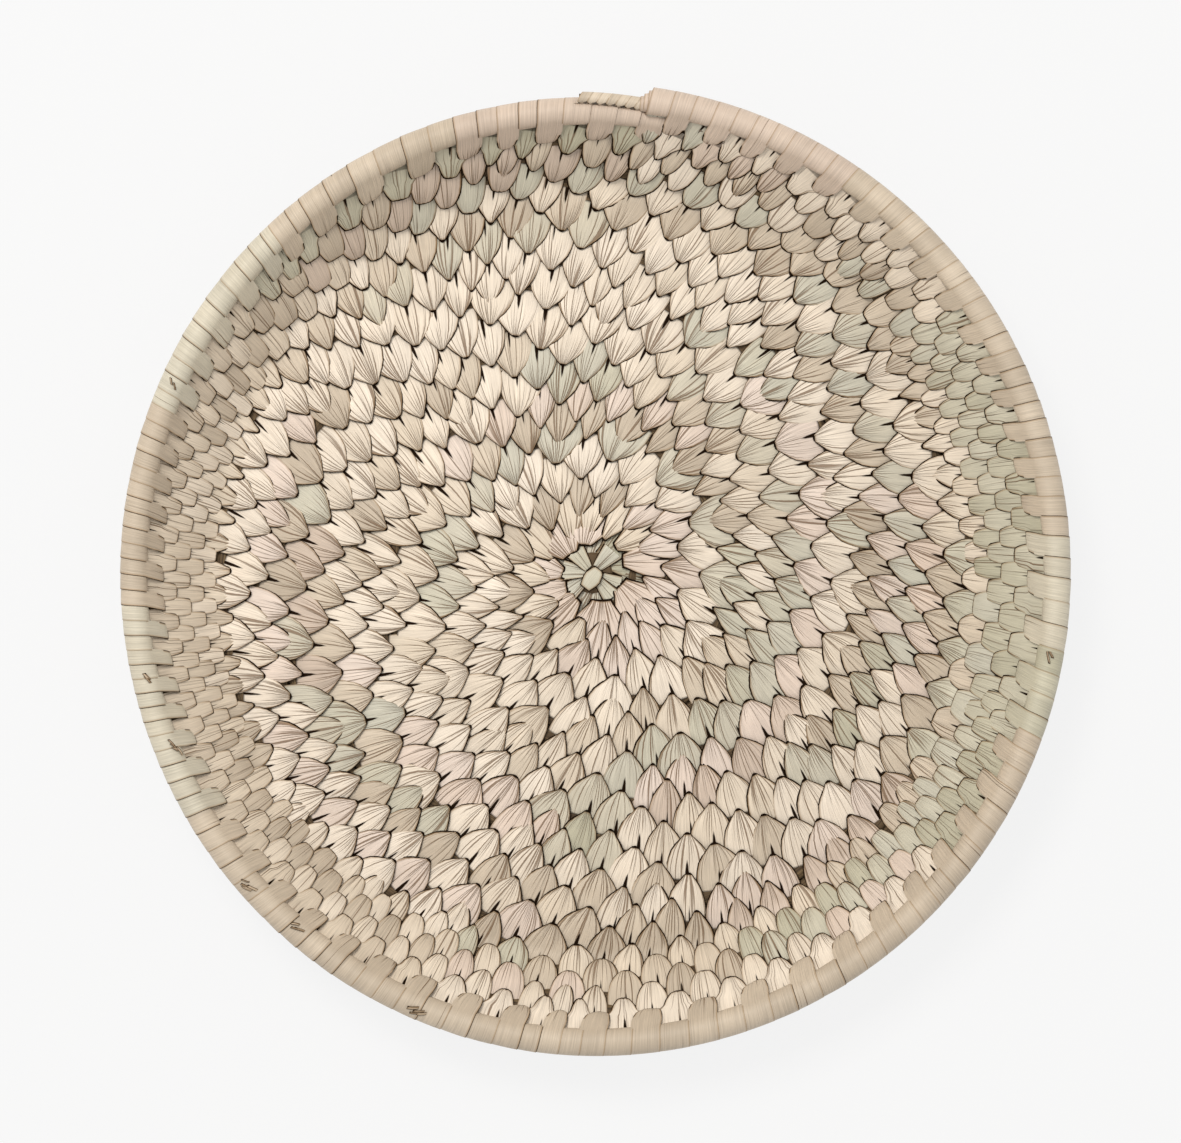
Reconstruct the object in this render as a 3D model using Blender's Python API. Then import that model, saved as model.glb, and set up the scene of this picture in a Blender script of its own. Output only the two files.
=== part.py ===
"""A shallow round basket tray of coiled palm leaf, 400 mm across and 48 mm deep.

One bundle of leaf ribs is coiled from a folded knot at the centre, counter-clockwise as seen
from above. It lies flat for the floor, climbs in a fold to the flared wall, and swells into the
rim roll, which ends as a thin tail lapped over its own beginning. Flat strips of leaf are wound
round the roll, and a narrow one is wound closely round the tail. Run it with
blender --background --python part.py, or from the text editor. Metres, +Z up, and the origin is
on the ground under the knot.
"""

import math

import bmesh
import bpy
from mathutils import Vector

# The coiled bundle
BUNDLE_WIDTH = 0.0074
ROW_CLEARANCE = 0.0007
FOOT_SHARE = 0.8
TURN_POINTS = 24
WALL_TURNS = 6

# The floor, the fold and the wall
FLOOR_RADIUS = 0.158
FOLD_RADIUS = 0.012
WALL_SLOPE = math.radians(50)
OVAL_SHARE = 0.0085
OVAL_ANGLE = math.radians(98)

# The knot at the centre
KNOT_RADIUS = 0.007
KNOT_FOLDS = 7
KNOT_FOLD_DEPTH = 0.0011
KNOT_CROWN = 0.0006
KNOT_SHOULDER = 0.0016

# The rim roll and its lapped tail
ROLL_WIDTH = 0.010
ROLL_POINTS = 96
ROLL_SWELL_ANGLE = math.radians(9)
ROLL_SETTLE_ANGLE = math.radians(20)
LAP_ANGLE = math.radians(82)
TAIL_LENGTH = 0.033
TAIL_WIDTH = 0.0042
TAIL_TIP_WIDTH = 0.0022
TAIL_NECK_LENGTH = 0.0032

# The strips wound round the rim
SEAT_CLEARANCE = 0.0003
STRIP_THICKNESS = 0.0004
STRIP_GAP = 0.0005
WRAP_PITCH = 0.0088
RIM_STRIPS = 14
LAP_PITCH = 0.0036
WRAP_SIDES = 6

# Sizes that follow from those above
BUNDLE_HALF = BUNDLE_WIDTH / 2
ROW_PITCH = BUNDLE_WIDTH + ROW_CLEARANCE
FOOT_DEPTH = BUNDLE_HALF * FOOT_SHARE
START_REACH = KNOT_RADIUS + SEAT_CLEARANCE + BUNDLE_HALF
FLOOR_TURNS = max(1, math.floor((FLOOR_RADIUS - START_REACH) / ROW_PITCH))
COIL_ANGLE = math.tau * (FLOOR_TURNS + WALL_TURNS)
COIL_REACH = START_REACH + ROW_PITCH * (FLOOR_TURNS + WALL_TURNS)
ROLL_HALF = ROLL_WIDTH / 2
WRAP_DEPTH = SEAT_CLEARANCE + STRIP_THICKNESS
SWELL_REACH = ROLL_HALF + WRAP_DEPTH + SEAT_CLEARANCE - BUNDLE_HALF - ROW_CLEARANCE
ROLL_END_REACH = COIL_REACH + ROW_PITCH + SWELL_REACH
ROLL_END_ANGLE = COIL_ANGLE + math.tau
SMALLEST_GAP = 0.0004
MILLIMETRE = 0.001


def profile(reach):
    """Radius and height of the bundle's centre line, so far along the floor, fold and wall."""
    height = FOOT_DEPTH
    if reach <= FLOOR_RADIUS:
        return reach, height
    fold_length = FOLD_RADIUS * WALL_SLOPE
    turn = min(reach - FLOOR_RADIUS, fold_length) / FOLD_RADIUS
    radius = FLOOR_RADIUS + FOLD_RADIUS * math.sin(turn)
    height += FOLD_RADIUS * (1 - math.cos(turn))
    beyond = max(reach - FLOOR_RADIUS - fold_length, 0)
    return radius + beyond * math.cos(WALL_SLOPE), height + beyond * math.sin(WALL_SLOPE)


def swell_share(angle):
    """How far the bundle has swollen into the rim roll, from 0 to 1, just after its start."""
    return min(max((angle - COIL_ANGLE) / ROLL_SWELL_ANGLE, 0), 1)


def roll_half(angle):
    """Half width of the rim roll."""
    return BUNDLE_HALF + (ROLL_HALF - BUNDLE_HALF) * swell_share(angle)


def tail_half(angle):
    """Half width of the tail, which thins evenly to its tip."""
    along = (angle - ROLL_END_ANGLE) / tail_angle()
    return (TAIL_WIDTH + (TAIL_TIP_WIDTH - TAIL_WIDTH) * min(max(along, 0), 1)) / 2


def tail_angle():
    """The angle that the tail takes up on the rim."""
    return TAIL_LENGTH / profile(ROLL_END_REACH)[0]


def reach_at(angle):
    """How far out along the surface the bundle's centre line lies, at an angle from its start."""
    if angle <= ROLL_END_ANGLE:
        return START_REACH + ROW_PITCH * angle / math.tau + SWELL_REACH * swell_share(angle)
    below = angle - math.tau
    roll_edge = reach_at(below) + roll_half(below) + WRAP_DEPTH
    return roll_edge + SEAT_CLEARANCE + tail_half(angle) + WRAP_DEPTH


def place(angle):
    """A point of the bundle's centre line, on the slightly oval plan."""
    radius, height = profile(reach_at(angle))
    bearing = LAP_ANGLE + angle
    radius *= 1 + OVAL_SHARE * math.cos(2 * (bearing - OVAL_ANGLE))
    return Vector((radius * math.cos(bearing), radius * math.sin(bearing), height))


def coil_joint(step):
    """The middle of one flat side of the coil, where one piece of it ends and the next begins."""
    before = place(math.tau * (step - 1 / 2) / TURN_POINTS)
    after = place(math.tau * (step + 1 / 2) / TURN_POINTS)
    return (before + after) / 2


def rim_place(angle):
    """A point of the rim's centre line, which leaves the flat side of the coil smoothly."""
    turned = angle - math.tau if angle > ROLL_END_ANGLE else angle
    share = min(max((turned - COIL_ANGLE) / ROLL_SETTLE_ANGLE, 0), 1)
    settled = share * share * (3 - 2 * share)
    shift = coil_joint((FLOOR_TURNS + WALL_TURNS) * TURN_POINTS) - place(COIL_ANGLE)
    return place(angle) + shift * (1 - settled)


def leaf_material(name, colour, roughness):
    """A plain leaf finish."""
    material = bpy.data.materials.new(name)
    material.use_nodes = True
    shader = material.node_tree.nodes["Principled BSDF"]
    shader.inputs["Base Color"].default_value = (*colour, 1)
    shader.inputs["Roughness"].default_value = roughness
    shader.inputs["Metallic"].default_value = 0
    return material


def add_object(name, data, material):
    """Put finished data in the scene under its name."""
    part = bpy.data.objects.new(name, data)
    data.materials.append(material)
    bpy.context.collection.objects.link(part)
    return part


def bundle_section():
    """The bundle's six-sided section, cut flat where the basket stands on it."""
    outline = bpy.data.curves.new("bundle_section", "CURVE")
    outline.dimensions = "2D"
    spline = outline.splines.new("POLY")
    side_share = math.cos(math.pi / 3)
    crown = BUNDLE_HALF * math.sin(math.pi / 3)
    corners = (
        (-BUNDLE_HALF, 0),
        (-BUNDLE_HALF * side_share, crown),
        (BUNDLE_HALF * side_share, crown),
        (BUNDLE_HALF, 0),
        (BUNDLE_HALF * side_share, -FOOT_DEPTH),
        (-BUNDLE_HALF * side_share, -FOOT_DEPTH),
    )
    spline.points.add(len(corners) - 1)
    for point, (across, up) in zip(spline.points, corners):
        point.co = (across, up, 0, 1)
    spline.use_cyclic_u = True
    guide = bpy.data.objects.new("bundle_section", outline)
    bpy.context.collection.objects.link(guide)
    guide.hide_render = True
    guide.display_type = "WIRE"
    return guide


def tube(name, path, widths, material, section=None):
    """A tube along a path, of the given section or six-sided, with closed ends."""
    curve = bpy.data.curves.new(name, "CURVE")
    curve.dimensions = "3D"
    curve.twist_mode = "Z_UP"
    curve.use_fill_caps = True
    if section:
        curve.bevel_mode = "OBJECT"
        curve.bevel_object = section
    else:
        curve.bevel_depth = max(widths)
        curve.bevel_resolution = 1
    spline = curve.splines.new("POLY")
    spline.points.add(len(path) - 1)
    for point, spot, width in zip(spline.points, path, widths):
        point.co = (*spot, 1)
        point.radius = width / max(widths)
    return add_object(name, curve, material)


def coil(name, first_turn, turns, section, material):
    """Some turns of the coiled bundle, from the middle of one flat side to that of another."""
    first = first_turn * TURN_POINTS
    last = first + turns * TURN_POINTS
    corners = [place(math.tau * (step + 1 / 2) / TURN_POINTS) for step in range(first, last)]
    path = [coil_joint(first), *corners, coil_joint(last)]
    path[0] += (path[1] - path[0]).normalized() * SEAT_CLEARANCE / 2
    path[-1] += (path[-2] - path[-1]).normalized() * SEAT_CLEARANCE / 2
    print_least_gap(name, path, BUNDLE_WIDTH, TURN_POINTS // 2)
    return tube(name, path, [BUNDLE_HALF] * len(path), material, section)


def print_least_gap(name, path, width, apart):
    """Measure the least gap between turns, on points at least half a turn apart."""
    least = min(
        (path[low] - path[high]).length
        for low in range(len(path))
        for high in range(low + apart, len(path))
    )
    gap = (least - width) / MILLIMETRE
    verdict = "clear" if least - width > SMALLEST_GAP else "too close"
    print(f"{name}: least gap between turns {gap:.2f} mm, {verdict}")


def rim_core(material):
    """The bundle's last turn: it swells into the roll and ends as the lapped tail."""
    end_angle = ROLL_END_ANGLE + tail_angle()
    neck_angle = TAIL_NECK_LENGTH / profile(ROLL_END_REACH)[0]
    angles = [COIL_ANGLE + math.tau * step / ROLL_POINTS for step in range(ROLL_POINTS)]
    swell_steps = 3
    angles += [COIL_ANGLE + ROLL_SWELL_ANGLE * step / swell_steps for step in range(1, swell_steps)]
    angles = sorted(angles)
    path = [rim_place(angle) for angle in angles] + [rim_place(ROLL_END_ANGLE)]
    widths = [roll_half(angle) for angle in angles] + [ROLL_HALF]
    tail_steps = 5
    tail_start = ROLL_END_ANGLE + neck_angle
    for step in range(tail_steps + 1):
        angle = tail_start + (end_angle - tail_start) * step / tail_steps
        path.append(rim_place(angle))
        widths.append(tail_half(angle))
    path[0] += (path[1] - path[0]).normalized() * SEAT_CLEARANCE / 2
    return tube("rim_core", path, widths, material)


def wrap_corner(step, start_angle, step_angle, half_width, core_half):
    """The strip's four corners where it crosses one edge of the six-sided roll."""
    angle = start_angle + step_angle * step
    centre = rim_place(angle)
    along = (rim_place(angle + step_angle) - rim_place(angle - step_angle)).normalized()
    outward = along.cross(Vector((0, 0, 1))).normalized()
    upward = outward.cross(along)
    turn = math.tau * step / WRAP_SIDES
    lift = outward * math.cos(turn) + upward * math.sin(turn)
    inner = core_half(angle) + SEAT_CLEARANCE
    outer = inner + STRIP_THICKNESS
    corners = []
    for side, depth in ((-1, inner), (1, inner), (1, outer), (-1, outer)):
        corners.append(centre + lift * depth + along * (half_width * side))
    return corners


def wound_strip(name, first_step, last_step, start_angle, step_angle, half_width, core_half, material):
    """A flat strip wound round the roll from one step to another, one step for each side."""

    def corners_at(step):
        whole = math.floor(step)
        share = step - whole
        low = wrap_corner(whole, start_angle, step_angle, half_width, core_half)
        high = wrap_corner(whole + 1, start_angle, step_angle, half_width, core_half)
        return [a.lerp(b, share) for a, b in zip(low, high)]

    steps = [first_step, *range(math.floor(first_step) + 1, math.ceil(last_step)), last_step]
    shape = bmesh.new()
    rings = [[shape.verts.new(corner) for corner in corners_at(step)] for step in steps]
    for ring, following in zip(rings, rings[1:]):
        for side in range(len(ring)):
            beside = (side + 1) % len(ring)
            shape.faces.new((ring[side], ring[beside], following[beside], following[side]))
    shape.faces.new(list(reversed(rings[0])))
    shape.faces.new(rings[-1])
    bmesh.ops.recalc_face_normals(shape, faces=shape.faces)
    mesh = bpy.data.meshes.new(name)
    shape.to_mesh(mesh)
    shape.free()
    return add_object(name, mesh, material)


def rim_strips(materials):
    """The leaf strips wound side by side round the roll, each spliced below to the next."""
    rim_length = math.tau * profile(ROLL_END_REACH - ROW_PITCH / 2)[0]
    wraps = max(2 * RIM_STRIPS, round(rim_length / WRAP_PITCH))
    step_angle = math.tau / (wraps * WRAP_SIDES)
    half_width = (WRAP_PITCH - STRIP_GAP) / 2
    side_length = ROLL_HALF + WRAP_DEPTH
    end_share = SEAT_CLEARANCE / 2 / side_length
    below = 1.5
    bounds = []
    for strip in range(RIM_STRIPS):
        wrap = 1 + round((wraps - 2) * strip / RIM_STRIPS)
        bounds.append(wrap * WRAP_SIDES - below)
    bounds.append((wraps - 1 / 2) * WRAP_SIDES - 1 / 2)
    for strip, (first, last) in enumerate(zip(bounds, bounds[1:])):
        wound_strip(
            f"rim_strip_{strip + 1:02d}",
            first + end_share,
            last - end_share,
            COIL_ANGLE,
            step_angle,
            half_width,
            roll_half,
            materials[strip % len(materials)],
        )


def lap_binding(material):
    """The narrow strip wound closely round the tail, which holds it down on the roll."""
    start_angle = ROLL_END_ANGLE + TAIL_NECK_LENGTH / profile(ROLL_END_REACH)[0]
    bound_angle = ROLL_END_ANGLE + tail_angle() - start_angle
    length = bound_angle * profile(ROLL_END_REACH)[0]
    wraps = max(1, math.floor(length / LAP_PITCH) - 1)
    step_angle = bound_angle / (wraps + 1) / WRAP_SIDES
    half_width = (LAP_PITCH - STRIP_GAP) / 2
    wound_strip(
        "lap_binding",
        WRAP_SIDES / 2,
        (wraps + 1 / 2) * WRAP_SIDES,
        start_angle,
        step_angle,
        half_width,
        tail_half,
        material,
    )


def knot_outline():
    """The knot's outline, which lies inside the coil's first turn and butts on its end."""
    start = coil_joint(0)
    ahead = (place(math.pi / TURN_POINTS) - start).normalized()
    outward = ahead.cross(Vector((0, 0, 1)))
    butt = start - ahead * SEAT_CLEARANCE / 2
    outline = [butt - outward * (BUNDLE_HALF + SEAT_CLEARANCE)]
    points = KNOT_FOLDS * 4
    for point in range(1, points):
        angle = math.tau * point / points
        centre = place(angle) * math.cos(math.pi / TURN_POINTS)
        centre.z = 0
        fold = KNOT_FOLD_DEPTH * (1 - math.cos(angle * KNOT_FOLDS)) / 2
        inset = BUNDLE_HALF + SEAT_CLEARANCE + fold
        outline.append(centre - centre.normalized() * inset)
    outline.append(butt + outward * BUNDLE_HALF)
    return [(point.x, point.y, 0) for point in outline]


def centre_knot(material):
    """The folded leaf knot that the coil starts from, flat below and raised above."""
    shape = bmesh.new()
    rim = [shape.verts.new(point) for point in knot_outline()]
    foot = shape.faces.new(rim)
    height = FOOT_DEPTH + BUNDLE_HALF * math.sin(math.pi / 3)
    raised = bmesh.ops.extrude_face_region(shape, geom=[foot], use_keep_orig=True)
    top = [vert for vert in raised["geom"] if isinstance(vert, bmesh.types.BMVert)]
    bmesh.ops.translate(shape, verts=top, vec=(0, 0, height))
    crown = [face for face in raised["geom"] if isinstance(face, bmesh.types.BMFace)]
    bmesh.ops.inset_region(shape, faces=crown, thickness=KNOT_SHOULDER, depth=KNOT_CROWN)
    bmesh.ops.recalc_face_normals(shape, faces=shape.faces)
    mesh = bpy.data.meshes.new("centre_knot")
    shape.to_mesh(mesh)
    shape.free()
    return add_object("centre_knot", mesh, material)


def main():
    for thing in list(bpy.data.objects):
        bpy.data.objects.remove(thing)
    ribs = leaf_material("dried_leaf_ribs", (0.31, 0.22, 0.11), 0.75)
    cream = leaf_material("cream_palm_leaf", (0.75, 0.62, 0.47), 0.5)
    green = leaf_material("green_palm_leaf", (0.58, 0.56, 0.42), 0.5)
    pink = leaf_material("pink_palm_leaf", (0.72, 0.54, 0.43), 0.5)
    section = bundle_section()
    centre_knot(green)
    coil("floor_coil", 0, FLOOR_TURNS, section, ribs)
    coil("wall_coil", FLOOR_TURNS, WALL_TURNS, section, ribs)
    rim_core(ribs)
    plain_stretch = (cream,) * 5
    rim_strips((pink, cream, green, cream, green, *plain_stretch, green, cream, cream, pink))
    lap_binding(cream)


main()
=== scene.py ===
"""A coiled palm-leaf basket tray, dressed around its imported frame.

The coiled bundle, the flat strips that sew it, the bound rim and the lapped tail are modelled here in
full. Every length is in metres. The tray is seen from straight above, as on a shop's white table.
"""

import math
import random
from dataclasses import dataclass

import bpy
import numpy as np
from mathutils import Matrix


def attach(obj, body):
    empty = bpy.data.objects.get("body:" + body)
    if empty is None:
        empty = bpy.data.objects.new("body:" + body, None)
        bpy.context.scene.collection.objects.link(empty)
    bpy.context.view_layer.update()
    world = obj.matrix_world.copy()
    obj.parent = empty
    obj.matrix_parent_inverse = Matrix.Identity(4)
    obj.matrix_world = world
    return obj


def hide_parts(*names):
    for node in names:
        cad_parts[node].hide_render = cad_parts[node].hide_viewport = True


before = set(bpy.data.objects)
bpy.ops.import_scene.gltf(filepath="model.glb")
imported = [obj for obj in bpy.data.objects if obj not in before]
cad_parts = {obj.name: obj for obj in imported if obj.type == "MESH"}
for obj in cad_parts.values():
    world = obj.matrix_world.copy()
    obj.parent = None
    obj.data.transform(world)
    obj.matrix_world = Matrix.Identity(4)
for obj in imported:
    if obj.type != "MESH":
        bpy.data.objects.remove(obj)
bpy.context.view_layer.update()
chance = random.Random(23)
MM = 0.001

# The coil, as the frame holds it
BUNDLE_HALF = 3.7 * MM
ROW_PITCH = 8.1 * MM
FOOT_DEPTH = BUNDLE_HALF * 0.8
START_REACH = 11.0 * MM
FLOOR_TURNS = 18
WALL_TURNS = 6
FLOOR_ANGLE = math.tau * FLOOR_TURNS
COIL_ANGLE = math.tau * (FLOOR_TURNS + WALL_TURNS)
FLOOR_RADIUS = 158 * MM
FOLD_RADIUS = 12 * MM
WALL_SLOPE = math.radians(50)
OVAL_SHARE = 0.0085
OVAL_ANGLE = math.radians(98)
LAP_ANGLE = math.radians(82)

# The rim roll and its tail
ROLL_HALF = 5.0 * MM
WRAP_DEPTH = 0.7 * MM
SWELL_REACH = 1.6 * MM
SWELL_ANGLE = math.radians(9)
ROLL_END_ANGLE = COIL_ANGLE + math.tau
ROLL_REACH = 215.1 * MM
ROLL_RADIUS = 198 * MM
CORE_CLEARANCE = 0.15 * MM
RIM_STRIPS = 14
TAIL_LENGTH = 33 * MM
TAIL_ANGLE = TAIL_LENGTH / ROLL_RADIUS
TAIL_HALF = 2.1 * MM
TAIL_TIP_HALF = 1.6 * MM
TAIL_WRAP = 4.0 * MM
SEAT_CLEARANCE = 0.3 * MM

# One tab of the rim, from its pinched tip up to the roll, as shares of the bound roll's half width
LEG_OUT_SHARES = (2.51, 2.35, 2.04, 1.61, 1.12)
LEG_LIFT_SHARES = (0.60, 0.69, 0.77, 0.84, 0.90)
LEG_PINCHED_SHARES = (0.50, 0.66, 0.84, 0.98, 1.04)
LEG_BLUNT_SHARES = (1.00, 1.04, 1.06, 1.06, 1.04)
LEG_STEPS = len(LEG_OUT_SHARES)
OVER_STEPS = 15
ROUND_STEPS = 25
LEG_TURN = math.radians(105)
TOP_TURN = math.radians(40)
ROLL_LEAD_SHARE = 0.134
LEG_LEAD_SHARE = 0.22
LEG_WAY_SHARE = 3.4
HOLE_TURN = 116
HOLE_SPREAD = 18

# How the wraps lie on the roll and the wall. A step is how far a wrap's edge stands over the next one.
WRAP_OVERLAP = 0.3 * MM
WRAP_BELLY = 0.25 * MM
SKIN_CROWN = 0.02 * MM
SKIN_SPREAD = 0.01 * MM
DARK_STEPS = (0.10 * MM, 0.20 * MM)
LIGHT_STEPS = (0.025 * MM, 0.05 * MM)
TAIL_STEPS = (0.06 * MM, 0.12 * MM)
TAIL_TONES = (0, 0.25)
TAIL_START_SHARE = 0.7
TAIL_HALF_SHARE = 0.54
TAIL_LEAD_SHARE = 0.5
TAIL_HOLE_SHARE = 0.7
SHOULDER_STEP = 0.03 * MM
LEG_DROP = 0.9 * MM
LEG_PLEAT = 0.3 * MM
LAST_ROW_MARGIN_RADIANS = 0.2

# Where the sewing stitches lie
STITCH_SPACING = 18.2 * MM
CENTRE_SPACING = 9.5 * MM
SPACING_GROWTH = 40 * MM
LEFT_SPACING_SHARE = 0.70
RIGHT_SPACING_SHARE = 0.84
WIDE_GAP_STEPS = 1.5
GAP_SHARE = 0.9
STEP_SHARE = 0.1
LAST_GAP_RADIANS = 0.02
LEAN = math.radians(19)
LEAN_SWING = math.radians(1)
WALL_LEAN = math.radians(12)
WALL_LEAN_SWING = math.radians(8)
WALL_SIDE_LEAN = math.radians(-8)
WALL_LEAN_TURNS = 1.5
UNDERSIDE_LEAN = math.radians(17)
LEAN_SPREAD_RADIANS = 0.08
SEWN_ROWS = 2.48
ROWS_BACK = 1.5
KNOT_REACH = 5.5 * MM
FIRST_RING_REACH = 12.0 * MM
NEAREST_MIDDLE = 5 * MM
FOOT_CLEARANCE = 0.05 * MM

# How wide, pinched, pleated and creased they are
WIDEST_SHARE = 0.37
WALL_WIDEST_SHARE = 0.31
WIDTH_SPREAD = (0.95, 1.08)
LENGTH_SPREAD = 0.04
OFF_WIDENING = 0.6
CENTRE_WIDENING = 0.9
CENTRE_TURNS = 2.5
WALL_NARROWING = 0.18
FOLD_WIDENING = 0.08
FOLD_TURNS = 0.3
FAN_SHARES = (0.7, 1.35)
TIP_SHIFT = 0.6 * MM
TIP_ROUNDING = 0.07
TIP_LENGTH = 10 * MM
CREASE_LENGTH = 17 * MM
BLUNT_START = 4 * MM
BLUNT_REACH = 14 * MM
BLUNT_SHARE = 0.2
WEST_BLUNT_SHARE = 0.65
EAST_BLUNT_SHARE = 0.45
BLUNT_SPREAD = 0.12
START_RISE_SHARE = 0.55
RISE_SPREAD = (-0.06, 0.08)
SKEW_SPREAD = 0.15
PLEAT_DEPTHS = (0.3, 1.3)
CUT_DEPTHS = (0.55, 1.4)
EDGE_POWER = 2.4
UNDER_ROLL_TURNS = 1.02
UNDER_ROLL_SHARE = 0.95
UNDER_ROLL_SPREAD = 0.4
LAST_STITCH = math.radians(3)
PLEAT_COLUMNS = 9
STRAND_SHIFT_MM = 900
LIGHT_TURN = math.radians(50)

# One stitch, from its pinched tip to where it dives, as shares of its length, half width and the bundle
STATION_SHARES = (0, 0.05, 0.12, 0.23, 0.38, 0.55, 0.70, 0.84, 1)
PINCHED_SHARES = (0.24, 0.33, 0.47, 0.66, 0.84, 0.95, 1, 1, 0.98)
BLUNT_SHARES = (0.93, 0.96, 0.99, 1, 1, 1, 1, 1, 0.98)
RISE_SHARES = (0.84, 0.98, 1.07, 1.14, 1.13, 0.98, 0.81, 0.65, 0.50)
FLAT_RISE_SHARES = (0.94, 1.00, 1.03, 1.04, 1.01, 0.93, 0.84, 0.73, 0.60)
DROP_SHARES = (0.04, 0.07, 0.11, 0.17, 0.25, 0.28, 0.26, 0.20, 0.12)
PLEAT_SHARES = (0.04, 0.09, 0.12, 0.12, 0.08, 0.04, 0.02, 0, 0)
NOTCH_SHARES = (0, 0, 0, 0, 0, 0.04, 0.08, 0.06, 0.01)
SLIT_SHARES = (0, 0, 0, 0, 0, 0.62, 0.86, 0.98, 1)
UNDERSIDE_SHARE = 0.69
STITCH_DEPTH = 0.5 * MM
LOOKS = ("tone", "tuck_shade", "edge", "crease", "slit")
SHARP_ANGLE = math.radians(70)


def surface(bearing, reach, lift):
    """Points over the tray: a bearing round it, a reach out along floor and wall, and a lift off it."""
    turn = np.clip(reach - FLOOR_RADIUS, 0, FOLD_RADIUS * WALL_SLOPE) / FOLD_RADIUS
    beyond = np.maximum(reach - FLOOR_RADIUS - FOLD_RADIUS * WALL_SLOPE, 0)
    radius = np.minimum(reach, FLOOR_RADIUS) + FOLD_RADIUS * np.sin(turn)
    radius = radius + beyond * math.cos(WALL_SLOPE) - lift * np.sin(turn)
    height = FOOT_DEPTH + FOLD_RADIUS * (1 - np.cos(turn))
    height = height + beyond * math.sin(WALL_SLOPE) + lift * np.cos(turn)
    radius = radius * (1 + OVAL_SHARE * np.cos(2 * (bearing - OVAL_ANGLE)))
    return np.stack((radius * np.cos(bearing), radius * np.sin(bearing), height), axis=-1)


def held(share):
    """A share, kept from 0 to 1."""
    return min(max(share, 0), 1)


def ramp(values, start, span):
    """Rises from 0 where the values are at a start to 1 a span beyond it."""
    return np.clip((values - start) / span, 0, 1)


def eastward(angle):
    """How far east an angle along the coil lies: 1 at the right, -1 at the left."""
    return math.cos(LAP_ANGLE + angle)


def northward(angle):
    """How far north an angle along the coil lies: 1 at the top, -1 at the bottom."""
    return math.sin(LAP_ANGLE + angle)


def swell_at(angle):
    """How far the bundle has swelled into the roll: 0 at the roll's start, 1 where it is full."""
    return held((angle - COIL_ANGLE) / SWELL_ANGLE)


def coil_reach(angle):
    """How far out along the surface the bundle's middle lies, at an angle from its start."""
    return START_REACH + ROW_PITCH * angle / math.tau + SWELL_REACH * swell_at(angle)


@dataclass
class Stitch:
    """One stitch: where its tip is along the coil, and how it differs from its neighbours."""

    angle: float
    spacing: float
    off: float = 0.5
    tone: float = 0
    slot: str = "cream"

    @property
    def on_wall(self):
        """From 0 on the floor to 1 from the wall's second row on."""
        return held((self.angle - FLOOR_ANGLE) / math.tau)

    @property
    def first_turn(self):
        """Whether it is one of the stitches round the knot."""
        return self.angle < GREEN_START

    @property
    def under_roll(self):
        """Whether its far end lies under the rim roll."""
        return COIL_ANGLE - UNDER_ROLL_TURNS * math.tau < self.angle < COIL_ANGLE - LAST_STITCH


def lean_at(angle):
    """How far the stitches lean from the radius, clockwise, at an angle along the coil."""
    swing = math.cos(2 * (LAP_ANGLE + angle))
    up = held((angle - FLOOR_ANGLE) / (WALL_LEAN_TURNS * math.tau))
    on_floor = LEAN + LEAN_SWING * swing
    on_wall = WALL_LEAN + WALL_LEAN_SWING * northward(angle) + WALL_SIDE_LEAN * eastward(angle) ** 2
    return on_floor + (on_wall - on_floor) * up


def plan_stitches():
    """Every stitch from the centre to the rim, each one between two stitches of the turn before."""
    stitches = [Stitch(0, CENTRE_SPACING)]
    below = 0
    while stitches[-1].angle < COIL_ANGLE - LAST_GAP_RADIANS:
        angle = stitches[-1].angle
        reach = coil_reach(angle) - ROW_PITCH / 2
        grown = held((reach - START_REACH) / SPACING_GROWTH)
        spacing = CENTRE_SPACING + (STITCH_SPACING - CENTRE_SPACING) * grown
        east = eastward(angle)
        closer = 1 - (RIGHT_SPACING_SHARE if east > 0 else LEFT_SPACING_SHARE)
        spacing *= 1 - closer * east**2 * held((angle - FLOOR_ANGLE) / math.tau)
        step = spacing / reach
        following, off = angle + step, 0.5
        if angle > math.tau - step:
            shift = math.tau - math.tan(lean_at(angle)) * ROW_PITCH / reach

            def between(index):
                return (stitches[index].angle + stitches[index + 1].angle) / 2 + shift

            while between(below) < angle + step / 2:
                below += 1
            gap = between(below) - angle
            wide = gap > WIDE_GAP_STEPS * step
            following = angle + (gap / 2 if wide else GAP_SHARE * gap + STEP_SHARE * step)
            off = min(abs(following - angle - gap) / step, 0.5)
        stitches.append(Stitch(following, spacing, off))
    for before, stitch, after in zip(stitches, stitches[1:], stitches[2:]):
        reach = coil_reach(stitch.angle) - ROW_PITCH / 2
        stitch.spacing = (after.angle - before.angle) / 2 * reach
    return stitches


# The first turn is green, and the rings after it are cream with some pink
GREEN_START = 1.05 * math.tau
CREAM_RINGS = 3.2 * math.tau

# Where green strips show in the photograph: turns of the coil, and bearings in degrees
GREEN_STRETCHES = (
    (0, 0.55, 0, 360),
    (9, 10, 88, 112),
    (17, 18, 40, 60),
    (8, 9, 48, 60),
    (8, 10, 2, 18),
    (12, 13, 0, 14),
    (10, 12, 262, 280),
    (12, 14, 264, 276),
    (11, 12, 214, 224),
    (13, 14, 166, 178),
    (6, 7, 168, 196),
    (13, 15, 316, 326),
    (19.6, 20.4, 60, 120),
    (20, 22, 290, 330),
    (20.5, 23.6, 322, 398),
    (22, 23, 200, 250),
    (19, 20, 230, 262),
    (23, 23.2, 70, 140),
)
GREEN_SHARE = 0.92
STRAY_GREEN_SHARE = 0.11
PINK_SHARE = 0.22
STRIP_STITCHES = (3, 8)
TONE_SPREAD = 0.12
WALL_TONE_SHARE = 0.6


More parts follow.
